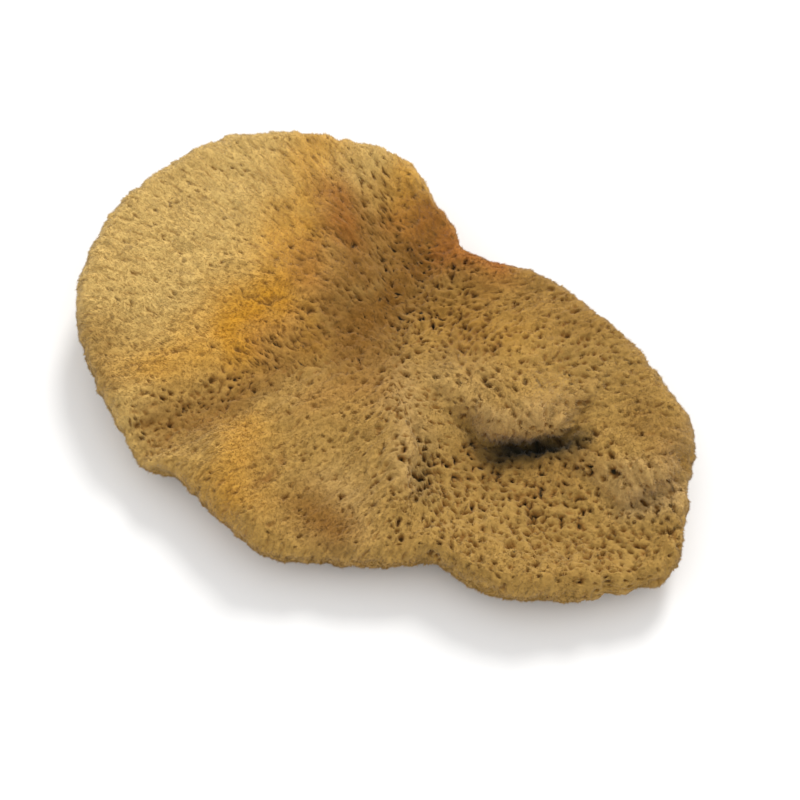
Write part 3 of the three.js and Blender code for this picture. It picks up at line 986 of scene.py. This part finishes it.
def spikes_on(rng, base, normal, flow, u, v, lean, stray, length, width, clump, lock):
    """Thin three-sided spikes, four points each. A spike points along the normal tipped towards the growth,
    turned sideways by a swirl shared with its neighbours and astray at random; the tips are drawn together
    in clumps, and sideways into locks that run along the growth."""
    side = np.cross(normal, flow)
    swirl = SWIRL * flat_noise(u, v, 4.0, 95)[:, None]
    tilt = (lean + STRAY_TILT * stray * rng.standard_normal(len(base)))[:, None]
    aim = normal * np.cos(tilt) + (flow + swirl * side) * np.sin(tilt)
    aim = aim + STRAY_AIM * stray[:, None] * rng.standard_normal(base.shape)
    aim /= np.linalg.norm(aim, axis=-1, keepdims=True)
    first = np.cross(aim, rng.standard_normal(base.shape))
    first /= np.linalg.norm(first, axis=-1, keepdims=True) + 1e-9
    second = np.cross(aim, first)
    pull = clump[:, None] * np.stack([flat_noise(u, v, 0.8, seed) for seed in (81, 82, 83)], -1)
    tip = base + aim * length[:, None] + pull + (lock * streaks(u, v, 0.9, 5.0, 96))[:, None] * side
    foot = base - FOOT_DEPTH * normal
    ring = [foot + width[:, None] * (math.cos(t) * first + math.sin(t) * second)
            for t in (0.0, 2 * math.pi / 3, 4 * math.pi / 3)]
    return np.stack([*ring, tip], 1)


def build_pile(number, skin, upper, material):
    """One set of the pile's fibres, as one piece: longer and flatter on the velvet, shorter and more upright
    on the open skin, longest in a tuft's middle. Each has the colour of its place, with painted shade darker at
    its foot and in the gaps between tufts, and painted light on the folds' noses."""
    rng = np.random.default_rng(1000 + number)
    i, j = plant(rng, FIBRES_A_SET, skin, upper)
    base, normal, flow, u, v, edge, a, b = (sample(grid, i, j) for grid in skin)
    normal /= np.linalg.norm(normal, axis=-1, keepdims=True)
    coarse, close, velvet = regions(u, v, edge, upper)
    stains, (pore_and_furrow_shade, dull_and_nose_light, shade) = skin_stains_and_shade(u, v, edge, upper)
    count = len(base)
    nose = on_noses(u, v) if upper else 0.0
    tufted = 1.0 - VELVET_EVENNESS * velvet
    tuft = tufts(u, v) * tufted
    open_skin = np.clip(coarse + close, 0.0, 1.0)

    length = LENGTH + OPEN_LENGTH * open_skin + VELVET_LENGTH * velvet + NOSE_LENGTH * nose
    length = length * (SHORTEST + LENGTH_SPREAD * rng.random(count)) * (1.0 - PIT_SHORTENING * pore_and_furrow_shade)
    tuft_length = TUFT_LENGTH + OPEN_TUFT_LENGTH * open_skin
    length = length * (1.0 + tuft_length * (tuft - PLAIN_LENGTH_AT * tufted))
    width = WIDTH + WIDTH_SPREAD * rng.random(count) + COARSE_WIDTH * coarse + VELVET_WIDTH * velvet
    if not upper:
        length = np.minimum(length, np.maximum(base[:, 2] - UNDER_GAP, UNDER_SHORTEST))
        width = width + UNDER_WIDTH
    lean = LEAN + VELVET_LEAN * velvet + COARSE_LEAN * coarse
    spikes = spikes_on(rng, base, normal, flow, u, v, lean, 1.0 - 0.5 * velvet, length, width,
                       CLUMP + VELVET_CLUMP * velvet, VELVET_LOCK * velvet)
    spikes[..., 2] = np.maximum(spikes[..., 2], 0.0)
    first = 4 * np.arange(count)[:, None, None]
    faces = (first + np.array([[0, 1, 3], [1, 2, 3], [2, 0, 3], [0, 2, 1]])).reshape(-1, 3)
    piece = put_piece(f"sponge_pile_{number}", spikes.reshape(-1, 3), [faces], material)

    tone = TONE + (STREAK_TONE + VELVET_STREAK_TONE * velvet) * streaks(u, v, 0.65, 6.5, 92)
    tone = tone + STRAY_TONE * rng.standard_normal(count)
    # Painted shade in the gaps between tufts, with lighter tuft middles.
    tuft_gap_shade = TUFT_GAP_SHADE + OPEN_TUFT_GAP_SHADE * open_skin
    # Painted light: lighter on the folds' noses.
    tone = tone + tuft_gap_shade * (tuft - PLAIN_TONE_AT * tufted) + NOSE_PAINTED_LIGHT * nose
    # Painted shade: darker at the foot and lighter at the tip.
    foot_shade = (FOOT_SHADE + VELVET_FOOT_SHADE * velvet)[:, None]
    tone = np.clip(tone[:, None] + foot_shade * np.array([-1.0, -1.0, -1.0, 1.0]), 0.0, 1.0)
    set_masks(piece.data, "stains", [np.repeat(mask, 4) for mask in stains])
    set_masks(piece.data, "shade_and_marks", [*(np.repeat(mask, 4) for mask in (pore_and_furrow_shade, dull_and_nose_light, shade)), tone])
    uv = UV_MARGIN + (1.0 - 3 * UV_MARGIN) * (np.stack([a, b], -1) + 1) / 2
    square = FIBRE_UV * np.array([[0.0, 0.0], [1.0, 0.0], [0.0, 1.0], [1.0, 1.0]])
    set_uv(piece.data, (uv[:, None, :] + square).reshape(-1, 2))


# ---- Stage, light and camera ----

# Distances in metres; the place that the camera looks at in the sheet's millimetres.
CAMERA_AZIMUTH = math.radians(46)
CAMERA_ELEVATION = math.radians(58)
CAMERA_DISTANCE = 0.472
CAMERA_LENS = 85.0
CAMERA_AIM = (4.4, 5.3, 0.0)
NEAREST_SEEN = 0.01
FLOOR_HALF = 3.0
FLOOR_DROP = 0.05 * MM
FLOOR_GREY = 0.86
SKY_LOW, SKY_HIGH = 1.07, 1.0
SKY_FADE = 0.5
SUN_DIRECTION = (0.30, 0.80, 0.78)
SUN_STRENGTH = 1.8
SUN_ANGLE = math.radians(18)
SUN_COLOUR = (1.0, 0.985, 0.96)


def from_camera_side(right, away, up):
    """A direction given as right, away and up as the camera stands, in the frame."""
    c, s = math.cos(CAMERA_AZIMUTH), math.sin(CAMERA_AZIMUTH)
    return Vector((right * c - away * s, right * s + away * c, up)).normalized()


def put_in_scene(name, data, direction=None):
    """An object at the origin, turned to look back along a direction if one is given."""
    thing = bpy.data.objects.new(name, data)
    bpy.context.scene.collection.objects.link(thing)
    if direction:
        thing.rotation_euler = (-direction).to_track_quat("-Z", "Y").to_euler()
    return thing


def add_camera():
    """A camera that looks down on the sponge from its front right."""
    back = from_camera_side(0, -math.cos(CAMERA_ELEVATION), math.sin(CAMERA_ELEVATION))
    camera = put_in_scene("camera", bpy.data.cameras.new("camera"), back)
    camera.data.lens = CAMERA_LENS
    camera.data.clip_start = NEAREST_SEEN
    camera.location = Vector(to_metres(np.array(CAMERA_AIM))) + back * CAMERA_DISTANCE
    bpy.context.scene.camera = camera


def add_light():
    """One broad soft light, and a white sky, a little brighter at the horizon than above."""
    light = bpy.data.lights.new("key", "SUN")
    light.energy = SUN_STRENGTH
    light.angle = SUN_ANGLE
    light.color = SUN_COLOUR
    put_in_scene("key", light, from_camera_side(*SUN_DIRECTION))
    world = bpy.data.worlds.new("studio")
    bpy.context.scene.world = world
    world.use_nodes = True
    tree = world.node_tree
    place = tree.nodes.new("ShaderNodeTexCoord")
    height = add_node(tree, "ShaderNodeSeparateXYZ", {0: place.outputs["Generated"]}).outputs["Z"]
    fade_inputs = {"Value": height, "From Max": SKY_FADE, "To Min": SKY_LOW, "To Max": SKY_HIGH}
    fade = add_node(tree, "ShaderNodeMapRange", fade_inputs)
    background = tree.nodes["Background"]
    background.inputs[0].default_value = (1, 1, 1, 1)
    tree.links.new(fade.outputs[0], background.inputs[1])
    bpy.context.scene.view_settings.view_transform = "Standard"


def add_floor():
    """A plain pale floor just under the sponge."""
    mesh = bpy.data.meshes.new("floor")
    corners = [(FLOOR_HALF * x, FLOOR_HALF * y, 0) for x, y in ((-1, -1), (1, -1), (1, 1), (-1, 1))]
    mesh.from_pydata(corners, [], [(0, 1, 2, 3)])
    paper = bpy.data.materials.new("white_paper")
    paper.use_nodes = True
    shader = paper.node_tree.nodes["Principled BSDF"]
    shader.inputs["Base Color"].default_value = (FLOOR_GREY, FLOOR_GREY, FLOOR_GREY, 1)
    shader.inputs["Roughness"].default_value = 0.9
    shader.inputs["Specular IOR Level"].default_value = 0.0
    mesh.materials.append(paper)
    floor = put_in_scene("floor", mesh)
    floor.location.z = -FLOOR_DROP


groups = (fibre_stains_and_shade_group(), fibre_grain_group())
skin_material = sponge_material("sponge_skin", *groups, **SKIN_FINISH)
pile_material = sponge_material("sponge_pile", *groups, **PILE_FINISH)
upper_skin, lower_skin = finished_skin(UPPER_CELLS, True), finished_skin(LOWER_CELLS, False)
build_body(upper_skin, lower_skin, skin_material)
for pile_set in range(UPPER_PILE_SETS + LOWER_PILE_SETS):
    on_top = pile_set < UPPER_PILE_SETS
    build_pile(pile_set + 1, upper_skin if on_top else lower_skin, on_top, pile_material)
add_camera()
add_light()
add_floor()
